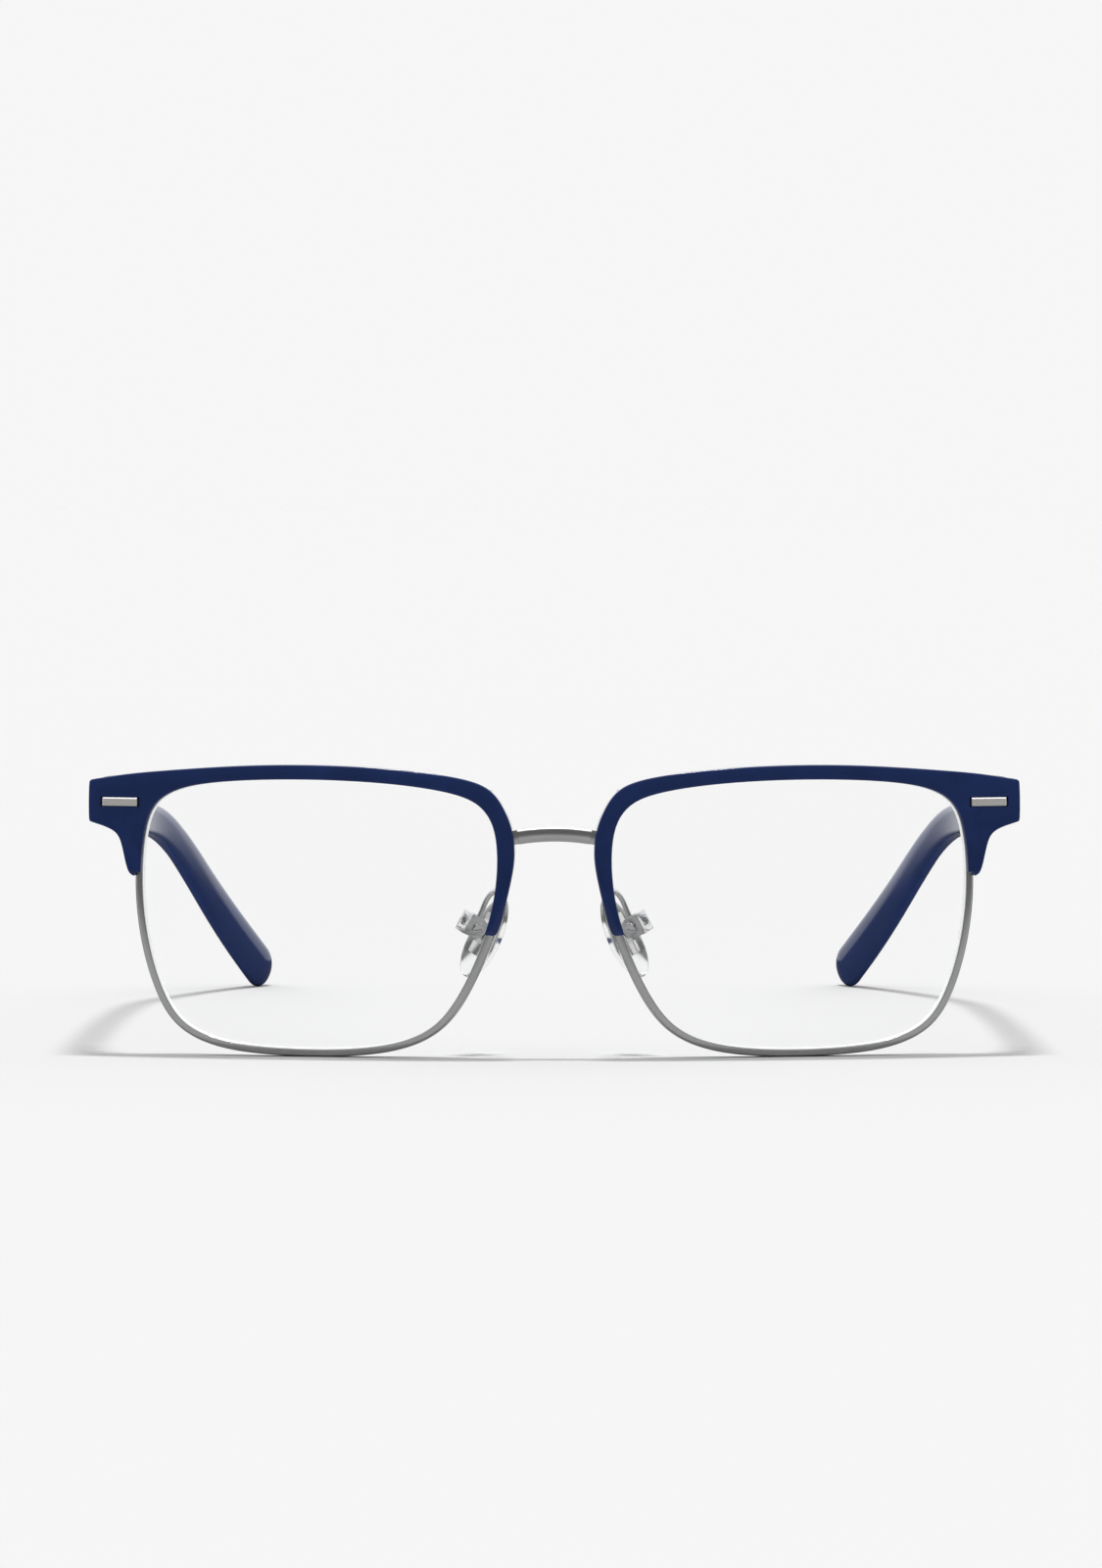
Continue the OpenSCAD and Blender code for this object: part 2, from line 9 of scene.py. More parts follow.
import bmesh
import bpy
import numpy as np
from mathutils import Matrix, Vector


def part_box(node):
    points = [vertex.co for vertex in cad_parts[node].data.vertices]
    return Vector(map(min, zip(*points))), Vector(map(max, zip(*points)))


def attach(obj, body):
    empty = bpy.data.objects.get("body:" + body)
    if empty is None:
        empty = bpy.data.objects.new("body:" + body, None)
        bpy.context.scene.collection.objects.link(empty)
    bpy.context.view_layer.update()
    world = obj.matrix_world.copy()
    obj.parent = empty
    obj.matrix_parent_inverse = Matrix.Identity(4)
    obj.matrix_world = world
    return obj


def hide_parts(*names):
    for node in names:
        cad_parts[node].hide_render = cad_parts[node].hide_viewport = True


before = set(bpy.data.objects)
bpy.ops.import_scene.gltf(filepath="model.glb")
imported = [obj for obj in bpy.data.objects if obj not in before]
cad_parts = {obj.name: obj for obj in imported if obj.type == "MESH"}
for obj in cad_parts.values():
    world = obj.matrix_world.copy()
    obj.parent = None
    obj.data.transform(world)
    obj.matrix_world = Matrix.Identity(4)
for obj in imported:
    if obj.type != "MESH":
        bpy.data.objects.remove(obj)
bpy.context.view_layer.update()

MM = 0.001
FRONT_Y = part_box("bridge")[0].y / MM - 0.1

# The lens frame: the glasses' front follows a sphere, turned back at the temple
BRIDGE_GAP = 17.2
FACE_FORM = math.radians(8)
BASE_RADIUS = 180
HALF_OPENING = 27.0
LENS_X = BRIDGE_GAP / 2 + HALF_OPENING * math.cos(FACE_FORM)
LENS_Y = (HALF_OPENING * math.sin(FACE_FORM) - BASE_RADIUS
          + math.sqrt(BASE_RADIUS**2 - HALF_OPENING**2))
LENS_Z = 21.56

RIM_WIDTH, RIM_DEPTH = 1.15, 2.2
GROOVE = 0.55
SAW_CUT_HEIGHT, SAW_CUT_HALF = 15.2, 0.03
LENS_FRONT, LENS_BACK = 0.2, 2.0
BEAD_MIDDLE, BEAD_HEIGHT = 1.1, 0.42
BROW_FRONT, BROW_BACK = 1.6, 2.0
CHANNEL = RIM_WIDTH + 0.1

# Hinge axis in the front frame, and the slope of the temple shaft
HINGE = np.array([66, 14.5, 37.06])
AXIS_LEAN, SHAFT_SLOPE = math.radians(2), math.radians(4.3)

# The tab for the nasal brow screw: its place along the opening, then how far out its centre is
TAB_PLACE, TAB_REACH, TAB_RADIUS = 14.25, 1.8, 0.76
TAB_FRONT, TAB_BACK = 2.05, 2.75

# The pad's centre and how it turns
PAD_CENTRE = np.array([10.3, 9.0, 17.46])
PAD_LEAN, PAD_SPLAY = math.radians(27), math.radians(33)
PAD_LENGTH, PAD_WIDTH = 13.2, 7.2
PAD_AXIS = (0.9, -3.0)

OPENING = [[27.1, 4.4], [26.1, -4.8], [23.6, -12.6], [20.2, -17.0], [14.2, -19.4], [6, -20.25],
           [-2.5, -20.35], [-10.2, -19.6], [-16.2, -17.5], [-20.2, -13.4], [-23.4, -7.2],
           [-25.8, -0.6], [-26.85, 6], [-26.55, 12], [-24.6, 15.7], [-20.6, 17.85],
           [-12, 19.3], [-1, 19.95], [10, 19.85], [18.6, 19.05], [23.6, 17.2], [26.3, 13.4]]
BROW_STARTS, BROW_ENDS = 10.65, 21.85
BROW_TOP = [[-25.6, -3.0], [-26.6, -3.1], [-27.3, -2.0], [-28.1, 1.2], [-29.0, 5.2], [-29.5, 9.0],
            [-29.1, 12.6], [-27.9, 15.6], [-26.2, 18.1], [-23.2, 19.8], [-17, 21.0],
            [-8, 21.85], [2, 22.2], [12, 22.0], [22, 21.3], [29, 20.65], [35.0, 19.7]]
BROW_END = [[35.3, 19.45], [35.42, 19.1], [35.45, 16.5], [35.37, 13.9], [35.2, 13.5]]
BROW_LOWER = [[34.9, 13.3], [32.6, 12.6], [31.0, 11.7], [30.2, 10.2], [29.6, 7.8], [29.0, 5.9],
              [28.2, 5.4]]
TEMPLE = [[68.9, 13.45, 37.14, 2.5, 1.4], [68.9, 27, 36.12, 2.5, 1.4],
          [68.8, 42, 34.99, 2.45, 1.38], [68.6, 57, 33.86, 2.4, 1.35],
          [68.2, 72, 32.73, 2.4, 1.32], [67.5, 86, 31.65, 2.45, 1.3],
          [66.5, 97, 30.65, 2.6, 1.3], [65.0, 105, 29.25, 2.85, 1.32],
          [62.8, 112, 26.2, 3.1, 1.36], [60.0, 119, 20.95, 3.3, 1.42],
          [57.1, 126, 15.2, 3.45, 1.48], [53.6, 133, 9.0, 3.6, 1.55], [50.3, 139, 3.7, 3.65, 1.6]]
ARM = [[8.05, 2.24, 23.7], [8.05, 3.6, 24.2], [8.6, 5.2, 24.7], [9.4, 6.3, 24.4],
       [10.2, 6.8, 23.3], [10.75, 6.9, 22.0], [11.3, 6.9, 20.8]]


# ---- curves and frames ---------------------------------------------------------------

def spline(knots, s, closed=False):
    """Points and slopes at places s of a cubic B-spline that passes by its knots.

    The control point of knot b between a and c is b - (a - 2b + c) / 6. An open list
    carries on in a straight line past its ends.
    """
    k = np.asarray(knots, float)
    s = np.atleast_1d(np.asarray(s, float))
    last = len(k) - 1

    def knot(i):
        if closed:
            return k[i % len(k)]
        below, above = np.minimum(i, 0)[:, None], np.maximum(i - last, 0)[:, None]
        return k[np.clip(i, 0, last)] + below * (k[1] - k[0]) + above * (k[-1] - k[-2])

    i = np.floor(s).astype(int)
    t = (s - i)[:, None]
    c = [knot(i + j) - (knot(i + j - 1) - 2 * knot(i + j) + knot(i + j + 1)) / 6
         for j in (-1, 0, 1, 2)]
    at = ((1 - t)**3 * c[0] + (3 * t**3 - 6 * t**2 + 4) * c[1]
          + (-3 * t**3 + 3 * t**2 + 3 * t + 1) * c[2] + t**3 * c[3]) / 6
    slope = (-(1 - t)**2 * c[0] + (3 * t * t - 4 * t) * c[1]
             + (-3 * t * t + 2 * t + 1) * c[2] + t * t * c[3]) / 2
    return at, slope


def unit(v):
    return v / np.linalg.norm(v, axis=-1, keepdims=True)


def opening_point(s, r=0.0):
    """Points of the lens opening at places s, moved outwards by r."""
    at, slope = spline(OPENING, s, closed=True)
    return at + np.asarray(r, float)[..., None] * unit(np.stack([-slope[:, 1], slope[:, 0]], -1))


def from_lens(uw, depth):
    """Lens plane (u, w) and depth behind the lens sphere, carried to the front frame."""
    u, w = uw[..., 0], uw[..., 1]
    back = BASE_RADIUS - np.sqrt(BASE_RADIUS**2 - u**2 - w**2) + depth
    return np.stack([LENS_X + u * math.cos(FACE_FORM) - back * math.sin(FACE_FORM),
                     LENS_Y + u * math.sin(FACE_FORM) + back * math.cos(FACE_FORM),
                     LENS_Z + w], -1)


def tilted(points, angle, rise=0.0):
    """Points in the hinge's or shaft's own axes, carried to the front frame."""
    x, y, z = points[..., 0], points[..., 1], points[..., 2] + rise
    return HINGE + np.stack([x, y * math.cos(angle) + z * math.sin(angle),
                             z * math.cos(angle) - y * math.sin(angle)], -1)


def from_shaft(points):
    return tilted(points, SHAFT_SLOPE)


def from_hinge(points):
    return tilted(points, AXIS_LEAN, rise=0.4)


def from_pad(points):
    """x across the pad towards the front, y up along it, z out of its bearing face."""
    cs, ss, cl, sl = (math.cos(PAD_SPLAY), math.sin(PAD_SPLAY), math.cos(PAD_LEAN),
                      math.sin(PAD_LEAN))
    across = np.array([-ss * cl, -cs, -ss * sl])
    up = np.array([-sl, 0, cl])
    out = np.array([-cs * cl, ss, -cs * sl])
    return (PAD_CENTRE + points[..., :1] * across + points[..., 1:2] * up
            + points[..., 2:3] * out)


def arc_corners(corners, steps=6):
    """A closed outline through (x, y, radius) corners, each rounded with an arc."""
    c = np.asarray(corners, float)
    out = []
    for i in range(len(c)):
        p, r = c[i, :2], c[i, 2]
        a, b = unit(c[i - 1, :2] - p), unit(c[(i + 1) % len(c), :2] - p)
        half = math.acos(np.clip(np.dot(a, b), -1, 1)) / 2
        reach = r / math.tan(half)
        centre = p + unit(a + b) * r / math.sin(half)
        start, stop = p + a * reach - centre, p + b * reach - centre
        turn = math.pi - 2 * half
        t = np.linspace(0, 1, steps + 1)[:, None]
        out.append(centre + (np.sin((1 - t) * turn) * start + np.sin(t * turn) * stop)
                   / math.sin(turn))
    return np.concatenate(out)


# ---- meshes ----------------------------------------------------------------------------

def sheet(points, wrap=True, caps=(True, True), material=0):
    """A grid of points as (vertices, faces, material); its columns close on themselves.

    A cap closes the first or the last row with one face. Rows of one repeated point are
    poles, which the weld closes.
    """
    rows, columns = points.shape[:2]
    index = np.arange(rows * columns).reshape(rows, columns)
    after = np.roll(index, -1, axis=1) if wrap else index[:, 1:]
    before = index if wrap else index[:, :-1]
    faces = np.stack([before[:-1], after[:-1], after[1:], before[1:]], -1).reshape(-1, 4).tolist()
    if caps[0]:
        faces.append(index[0, ::-1].tolist())
    if caps[1]:
        faces.append(index[-1].tolist())
    return points.reshape(-1, 3), faces, material


def write_mesh(name, shells, side, materials, sharp=None):
    """One mesh of welded shells with outward normals, mirrored when side is -1."""
    points, faces, indices, first = [], [], [], 0
    for vertices, shell_faces, material in shells:
        points.append(vertices)
        faces += [[first + i for i in face] for face in shell_faces]
        indices += [material] * len(shell_faces)
        first += len(vertices)
    points = np.concatenate(points) * [side, 1, 1] + [0, FRONT_Y, 0]
    mesh = bpy.data.meshes.new(name)
    mesh.from_pydata((points * MM).tolist(), [], faces)
    for material in materials:
        mesh.materials.append(material)
    mesh.polygons.foreach_set("material_index", indices)
    weld(mesh)
    mesh.polygons.foreach_set("use_smooth", [True] * len(mesh.polygons))
    if sharp:
        mesh.set_sharp_from_angle(angle=math.radians(sharp))
    return mesh


def weld(mesh):
    """Joins doubled vertices, drops faces without area and turns the normals outwards."""
    work = bmesh.new()
    work.from_mesh(mesh)
    bmesh.ops.remove_doubles(work, verts=work.verts, dist=1e-6 * 0.3)
    bmesh.ops.dissolve_degenerate(work, edges=work.edges, dist=1e-7)
    bmesh.ops.recalc_face_normals(work, faces=work.faces)
    work.to_mesh(mesh)
    work.free()


def place(name, mesh, body, slot, replaces):
    piece = bpy.data.objects.new(name, mesh)
    bpy.context.scene.collection.objects.link(piece)
    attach(piece, body)
    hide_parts(*replaces)
    return piece


SIDES = (("left", 1), ("right", -1))


def pair(node, name, shells, body, slot, materials, sharp=None):
    """The left piece and its mirror image, in place of the CAD nodes of both sides."""
    for prefix, side in SIDES:
        mesh = write_mesh(f"{prefix}_{name}", shells, side, materials, sharp)
        place(f"{prefix}_{name}", mesh, body.format(prefix), slot, [f"{prefix}_{node}"])


# ---- front -------------------------------------------------------------------------------

def rim_sheet():
    """The eyewire: a rounded channel section (r outwards, depth back) along the opening.

    It starts and ends at the saw cut between the two lock blocks.
    """
    section = arc_corners([[0, 0, 0.14], [RIM_WIDTH, 0, 0.42], [RIM_WIDTH, RIM_DEPTH, 0.42],
                           [0, RIM_DEPTH, 0.14], [0, 1.8, 0.04], [GROOVE, 1.75, 0.1],
                           [GROOVE, 0.45, 0.1], [0, 0.4, 0.04]])
    turns = np.linspace(20, 21, 400)
    heights = opening_point(turns, np.full(len(turns), 0.6))[:, 1]
    cut = turns[np.argmin(np.abs(heights - SAW_CUT_HEIGHT))]
    s = np.linspace(cut + SAW_CUT_HALF, cut + len(OPENING) - SAW_CUT_HALF, 18 * len(OPENING))
    grid = [from_lens(opening_point(s, np.full(len(s), r)), depth) for r, depth in section]
    return sheet(np.stack(grid, 1))


def tab_sheet():
    """The tab behind the rim: a rounded end on a straight root, with its edges turned over."""
    root = opening_point(TAB_PLACE, np.array([0.3]))[0]
    end = opening_point(TAB_PLACE, np.array([TAB_REACH]))[0]
    out = unit(end - root)
    side = np.array([-out[1], out[0]])
    a = np.radians(np.linspace(-90, 90, 25))[:, None]

    def outline(r):
        rounded = end + r * (np.cos(a) * out + np.sin(a) * side)
        return np.concatenate([rounded, [root + r * side, root - r * side]])

    rows = [(0.1, TAB_FRONT), (TAB_RADIUS - 0.02, TAB_FRONT), (TAB_RADIUS, TAB_FRONT + 0.07),
            (TAB_RADIUS, TAB_BACK - 0.07), (TAB_RADIUS - 0.02, TAB_BACK - 0.02),
            (TAB_RADIUS - 0.08, TAB_BACK), (0.1, TAB_BACK)]
    return sheet(np.stack([from_lens(outline(r), depth) for r, depth in rows]))


def lens_shells():
    """A lens: two spherical faces, polar from the centre, and a ground bevel between them."""
    s = np.linspace(0, len(OPENING), 12 * len(OPENING), endpoint=False)

    def ring(r, depth, share=1.0):
        return from_lens(opening_point(s, np.full(len(s), r)) * share, depth)

    shares = np.sin(np.linspace(0, 1, 26) * math.pi / 2)
    front = np.stack([ring(-0.05, LENS_FRONT, share) for share in shares])
    back = np.stack([ring(-0.05, LENS_BACK, share) for share in shares])
    bevel = np.stack([ring(-0.05, LENS_FRONT), ring(0.0, LENS_FRONT + 0.12),
                      ring(0.0, BEAD_MIDDLE - 0.5), ring(BEAD_HEIGHT, BEAD_MIDDLE),
                      ring(0.0, BEAD_MIDDLE + 0.5), ring(0.0, LENS_BACK - 0.12),
                      ring(-0.05, LENS_BACK)])
    open_ends = (False, False)
    return [sheet(front, caps=open_ends), sheet(back, caps=open_ends),
            sheet(bevel, caps=open_ends, material=1)]


def outer_edge():
    """The brow's outer outline as a fine polyline, and the length along it."""
    top = spline(BROW_TOP, np.arange(0, len(BROW_TOP) - 1 + 1e-6, 1 / 24))[0]
    lower = spline(BROW_LOWER, np.arange(0, len(BROW_LOWER) - 1 + 1e-6, 1 / 24))[0]
    end = spline(BROW_END, np.arange(0, len(BROW_END) - 1 + 1e-6, 1 / 16))[0]
    edge = np.concatenate([top, end, lower])
    run = np.concatenate([[0], np.cumsum(np.linalg.norm(np.diff(edge, axis=0), axis=1))])
    return edge, run


# Which place of the outer outline faces each place of the opening, from nose tip to leg
FACING = [[10.65, -25.6, -3.0], [10.72, -26.6, -3.1], [10.85, -27.3, -2.0], [11.05, -27.6, -0.8],
          [12, -29.1, 6], [13, -29.15, 12.5], [14, -27.5, 16.6], [15, -21.8, 20.3],
          [16, -12.3, 21.5], [17, -1, 22.15], [18, 10.2, 22.05], [19, 19.3, 21.5],
          [19.6, 25, 21.0], [20, 30, 20.6], [20.35, 35.1, 19.65], [20.45, 35.42, 19.1],
          [20.9, 35.37, 13.9], [21.0, 34.9, 13.3], [21.15, 32.6, 12.6], [21.3, 31.0, 11.7],
          [21.45, 30.2, 10.2], [21.62, 29.6, 7.8], [21.78, 29.0, 5.9], [21.85, 28.2, 5.4]]
EDGE_RADIUS = 0.2
CROWN, CROWN_REACH = 0.07, 1.5
BACK_RADIUS = 0.22
CHANNEL_FLOOR = -0.1

# The outer wall leans in by DRAFT a millimetre of depth, from place DRAFT_STOPS towards the nose
DRAFT, DRAFT_STOPS, DRAFT_FADE = 0.09, 16.5, 2


def distance_to(points, line):
    """Least distance from each point to a polyline."""
    a, step = line[:-1], np.diff(line, axis=0)
    away = points[:, None] - a
    t = np.clip((away * step).sum(-1) / (step**2).sum(-1), 0, 1)
    return np.linalg.norm(away - t[..., None] * step, axis=-1).min(1)


def brow_rungs(edge, run):
    """Rungs from the opening to the outer outline: their places, lengths and a function.

    Each rung goes straight out by CHANNEL, bends there, and goes on to the point of the outline
    that faces it. The function gives the points at distance x along every rung.
    """
    facing = np.array(FACING)
    marks = run[np.argmin(np.linalg.norm(edge[None] - facing[:, None, 1:], axis=-1), axis=1)]
    tips = np.array([0, .012, .03, .055, .09, .14, .2, .27, .35]) / 6
    s = np.unique(np.concatenate([BROW_STARTS + tips / 3, np.linspace(BROW_STARTS, BROW_ENDS, 420),
                                  np.linspace(20.3, 21.05, 120), BROW_ENDS - tips / 4]))
    length = np.interp(s, facing[:, 0], marks)
    outer = np.stack([np.interp(length, run, edge[:, i]) for i in (0, 1)], -1)
    inner = opening_point(s, np.full(len(s), 0.02))
    reach = np.linalg.norm(outer - inner, axis=1)
    bend = opening_point(s, np.minimum(CHANNEL, 0.6 * reach))
    first = np.linalg.norm(bend - inner, axis=1)
    whole = first + np.linalg.norm(outer - bend, axis=1)

    def rung(x):
        x = np.broadcast_to(x, whole.shape)
        one = np.clip(x / first, 0, 1)[:, None]
        two = np.clip((x - first) / (whole - first), 0, 1)[:, None]
        return np.where(x[:, None] <= first[:, None], inner + one * (bend - inner),
                        bend + two * (outer - bend))

    return s, whole, rung


def brow_front(edge, whole, rung):
    """Points and depths of the front face, one column for each place along the rungs.

    The face falls away by an arc of EDGE_RADIUS and a crown that dies out over CROWN_REACH, both
    by the true distance to the outline.
    """
    steps = np.array([0, .012, .035, .07, .12, .18, .25, .34, .46])
    margin = np.minimum(steps[-1], whole * 0.42)
    places = ([margin * e / steps[-1] for e in steps]
              + [margin + t * (whole - 2 * margin) for t in np.linspace(0, 1, 26)[1:-1]]
              + [whole - margin * e / steps[-1] for e in steps[::-1]])
    points = np.stack([rung(x) for x in places], 1)
    inner = opening_point(np.linspace(BROW_ENDS, BROW_STARTS, 300), np.full(300, 0.02))
    border = np.concatenate([edge, inner, edge[:1]])
    parts = np.array_split(points.reshape(-1, 2), 24)
    away = np.concatenate([distance_to(part, border) for part in parts])
    away = away.reshape(points.shape[:2])
    inside = np.clip(EDGE_RADIUS - away, 0, EDGE_RADIUS)
    fall = (EDGE_RADIUS - np.sqrt(EDGE_RADIUS**2 - inside**2)
            + CROWN * (1 - np.clip(away / CROWN_REACH, 0, 1))**2)
    return points, fall - BROW_FRONT


def brow_sheet():
    """The brow as a ladder: each rung carries one closed section.

    The section is the front face, the outer wall, the back of the flange, the channel round the
    rim and the inner wall.
    """
    edge, run = outer_edge()
    s, whole, rung = brow_rungs(edge, run)
    front_points, front = brow_front(edge, whole, rung)
    outer_front, inner_front = front[:, -1], front[:, 0]
    flange = np.clip((whole - CHANNEL) / 0.5, 0, 1)
    back = CHANNEL_FLOOR + (BROW_BACK - CHANNEL_FLOOR) * flange * flange * (3 - 2 * flange)
    draft = DRAFT * np.clip((DRAFT_STOPS - s) / DRAFT_FADE, 0, 1)
    drafted = whole - draft * (back + BROW_FRONT)
    wall = np.minimum(CHANNEL, drafted)
    soft = np.minimum(BACK_RADIUS, (drafted - wall) / 2)
    columns = [(front_points[:, k], front[:, k]) for k in range(front.shape[1])]

    def add(x, depth):
        columns.append((rung(x), np.broadcast_to(depth, whole.shape)))

    for t in (0.12, 0.4, 0.7, 0.9):
        add(whole + t * (drafted - whole), outer_front + t * (back - BACK_RADIUS - outer_front))
    for turn in np.radians([0, 25, 50, 75, 90]):
        add(drafted - soft * (1 - math.cos(turn)), back - BACK_RADIUS * (1 - math.sin(turn)))
    for t in (0.05, 0.35, 0.65, 0.95):
        add(drafted - soft + t * (wall + 0.1 * soft - drafted + soft), back)
    for t in (0.0, 0.05, 0.5, 0.95, 1.0):
        add(wall, back + t * (CHANNEL_FLOOR - back))
    for t in (0.9, 0.5, 0.1, 0.0):
        add(wall * t, CHANNEL_FLOOR)
    for t in (0.25, 0.75):
        add(0 * wall, CHANNEL_FLOOR + t * (inner_front - CHANNEL_FLOOR))
    return sheet(against_plate(np.stack([from_lens(uw, depth) for uw, depth in columns], 1)))


def against_plate(points):
    """Keeps the brow's back in front of the end piece's plate, in the shaft's axes.

    The limit is plate_front, and step_back further back outside step_from.
    """
    plate_front, step_back, step_from, step_width = -3.2, 0.9, 1.9, 0.3
    lean_c, lean_s = math.cos(SHAFT_SLOPE), math.sin(SHAFT_SLOPE)
    x, y, z = np.moveaxis(points - HINGE, -1, 0)
    depth, rise = y * lean_c - z * lean_s, y * lean_s + z * lean_c
    step = np.clip((x - step_from) / step_width, 0, 1)
    depth = np.minimum(depth, plate_front + step_back * step * step * (3 - 2 * step))
    return HINGE + np.stack([x, depth * lean_c + rise * lean_s,
                             rise * lean_c - depth * lean_s], -1)


# The inlay bar, and the pocket that it sits in
BAR_CENTRE = np.array([30.45, 16.425])
BAR_HALF = np.array([2.75, 0.62])
BAR_FRONT, BAR_BACK = -1.82, -0.53
POCKET_HALF = np.array([3.08, 0.72])
POCKET_FLOOR = -0.5


def rounded_prism(centre, half, rows, corner, place_at):
    """A rounded rectangle that shrinks by `inset` at each (inset, depth) row."""
    rings = []
    for inset, depth in rows:
        h, r = half - inset, max(corner - inset, 0.01)
        outline = arc_corners([[-h[0], -h[1], r], [h[0], -h[1], r], [h[0], h[1], r],
                               [-h[0], h[1], r]])
        rings.append(place_at(centre + outline, depth))
    return sheet(np.stack(rings))


def inlay_sheet():
    """The bar: flat satin face, and a small bevel all round in the same finish."""
    rows = [(0.16, BAR_FRONT), (0.15, BAR_FRONT), (0.14, BAR_FRONT + 0.005),
            (0.02, BAR_FRONT + 0.11), (0.0, BAR_FRONT + 0.14), (0.0, BAR_BACK)]
    return rounded_prism(BAR_CENTRE, BAR_HALF, rows, 0.1, from_lens)


def cut_pocket(brow, side):
    """Cuts the inlay's pocket out of a brow, with a rounded prism that starts before it."""
    rows = [(0.0, -4.0), (0.0, POCKET_FLOOR - 0.05), (0.03, POCKET_FLOOR - 0.02),
            (0.06, POCKET_FLOOR)]
    shell = rounded_prism(BAR_CENTRE, POCKET_HALF, rows, 0.12, from_lens)
    mesh = write_mesh("cutter", [shell], side, brow.data.materials)
    cutter = bpy.data.objects.new("cutter", mesh)
    bpy.context.scene.collection.objects.link(cutter)
    cut = brow.modifiers.new("pocket", "BOOLEAN")
    cut.object, cut.solver = cutter, "EXACT"
    bpy.context.view_layer.update()
    seen = brow.evaluated_get(bpy.context.evaluated_depsgraph_get())
    finished = bpy.data.meshes.new_from_object(seen)
    brow.modifiers.clear()
    brow.data = finished
    finished.set_sharp_from_angle(angle=math.radians(32))
    bpy.data.objects.remove(cutter)


def bridge_sheet():
    """The bridge: a rounded section along an arc, stepped back beside the brows.

    From notch_from to notch_to degrees off the middle the front goes back by notch_depth, and
    the back stays where it is.
    """
    radius, crown, arc_end = 34, 33.46, 13.2
    half, front, depth = 1.1, 0.1, 2.4
    notch_from, notch_to, notch_depth = 9.12, 9.24, 1.7
    section = arc_corners([[-half, front, 1.15], [half, front, 0.4], [half, front + depth, 0.5],
                           [-half, front + depth, 0.3]], steps=10)
    right = np.concatenate([np.linspace(0, arc_end, 31), [notch_from, notch_to]])
    degrees = np.unique(np.concatenate([right, -right]))
    a = np.radians(degrees)[:, None]
    reach = radius + np.broadcast_to(section[:, 0], (len(degrees), len(section)))
    share = np.clip((np.abs(degrees) - notch_from) / (notch_to - notch_from), 0, 1)[:, None]
    back = section[:, 1] + notch_depth * share * (1 - (section[:, 1] - front) / depth)
    return sheet(np.stack([reach * np.sin(a), back, crown - radius + reach * np.cos(a)], -1))


# ---- temples -------------------------------------------------------------------------------

def temple_rings(s, angles, size, power, rise=0.0):
    """Rings of a temple: superellipse corners |cos|^(2/p), |sin|^(2/p) on its half sizes.

    The power may differ round the ring, which keeps a crease along one corner.
    """
    at, slope = spline(TEMPLE, s)
    slope[s <= 0] = [0, math.cos(SHAFT_SLOPE), -math.sin(SHAFT_SLOPE), 0, 0]
    along = unit(slope[:, :3])
    out = unit(np.cross(along, [0, 0, 1]))
    up = np.cross(out, along)
    c, n = np.cos(angles), np.sin(angles)
    x = np.sign(c) * np.abs(c)**(2 / power)
    y = np.sign(n) * np.abs(n)**(2 / power)
    size = np.broadcast_to(size, s.shape)[:, None]
    thick, high = at[:, 4, None] * size, at[:, 3, None] * size
    rise = np.broadcast_to(rise, s.shape)[:, None, None]
    return (at[:, None, :3] + (x * thick)[..., None] * out[:, None]
            + (y * high)[..., None] * up[:, None] + rise * up[:, None])


def temple_sheet():
    """A temple: domed tip, a crease along its lower inner corner, and a bored butt.

    The grid starts at the bottom of the core wire's channel, comes out at the butt, turns over
    its small bevel and runs back to the tip. The section grows rounder from place 4.5 on.
    """
    dome_length = 0.4
    angles = np.linspace(0, 2 * math.pi, 64, endpoint=False)
    last = len(TEMPLE) - 1
    shaft = np.linspace(0, last, 145)
    dome = np.radians([8, 16, 24, 33, 42, 51, 60, 69, 78, 85, 89])
    s = np.concatenate([shaft, last + dome_length * np.sin(dome)])
    size = np.concatenate([np.ones(len(shaft)), np.cos(dome)**0.8])
    soft = np.clip(4.5 - 0.7 * (s - 4.5), 2.05, 4.5)[:, None]
    crisp = np.clip(11 - 1.7 * (s - 5.5), 2.2, 11)[:, None]
    lower_inner = (np.cos(angles) < 1e-9) & (np.sin(angles) < 1e-9)
    power = np.where(lower_inner, crisp, soft)
    shell = temple_rings(s, angles, size, power)
    butt = temple_rings(np.zeros(4), angles, np.array([0.78, 0.955, 0.972, 0.99]), power[:1])
    backward = np.array([0, math.cos(SHAFT_SLOPE), -math.sin(SHAFT_SLOPE)])
    shell[0] += 0.12 * backward
    butt[3] += 0.05 * backward
    return sheet(np.concatenate([channel(angles), butt, shell]))


def channel(angles):
    """Two rings of the core wire's oval bore, from its depth out to the butt."""
    depth, half_thick, half_high = 0.35, 0.54, 0.84
    rises = np.array([0.97, 1.1])
    at = spline(TEMPLE, [depth, 0.0])[0]
    backward = np.array([0, math.cos(SHAFT_SLOPE), -math.sin(SHAFT_SLOPE)])
    out = unit(np.cross(backward, [0, 0, 1]))
    up = np.cross(out, backward)
    oval = (half_thick * np.cos(angles)[:, None] * out
            + half_high * np.sin(angles)[:, None] * up)
    return at[:, None, :3] + oval[None] + rises[:, None, None] * up


# ---- nose pads -----------------------------------------------------------------------------

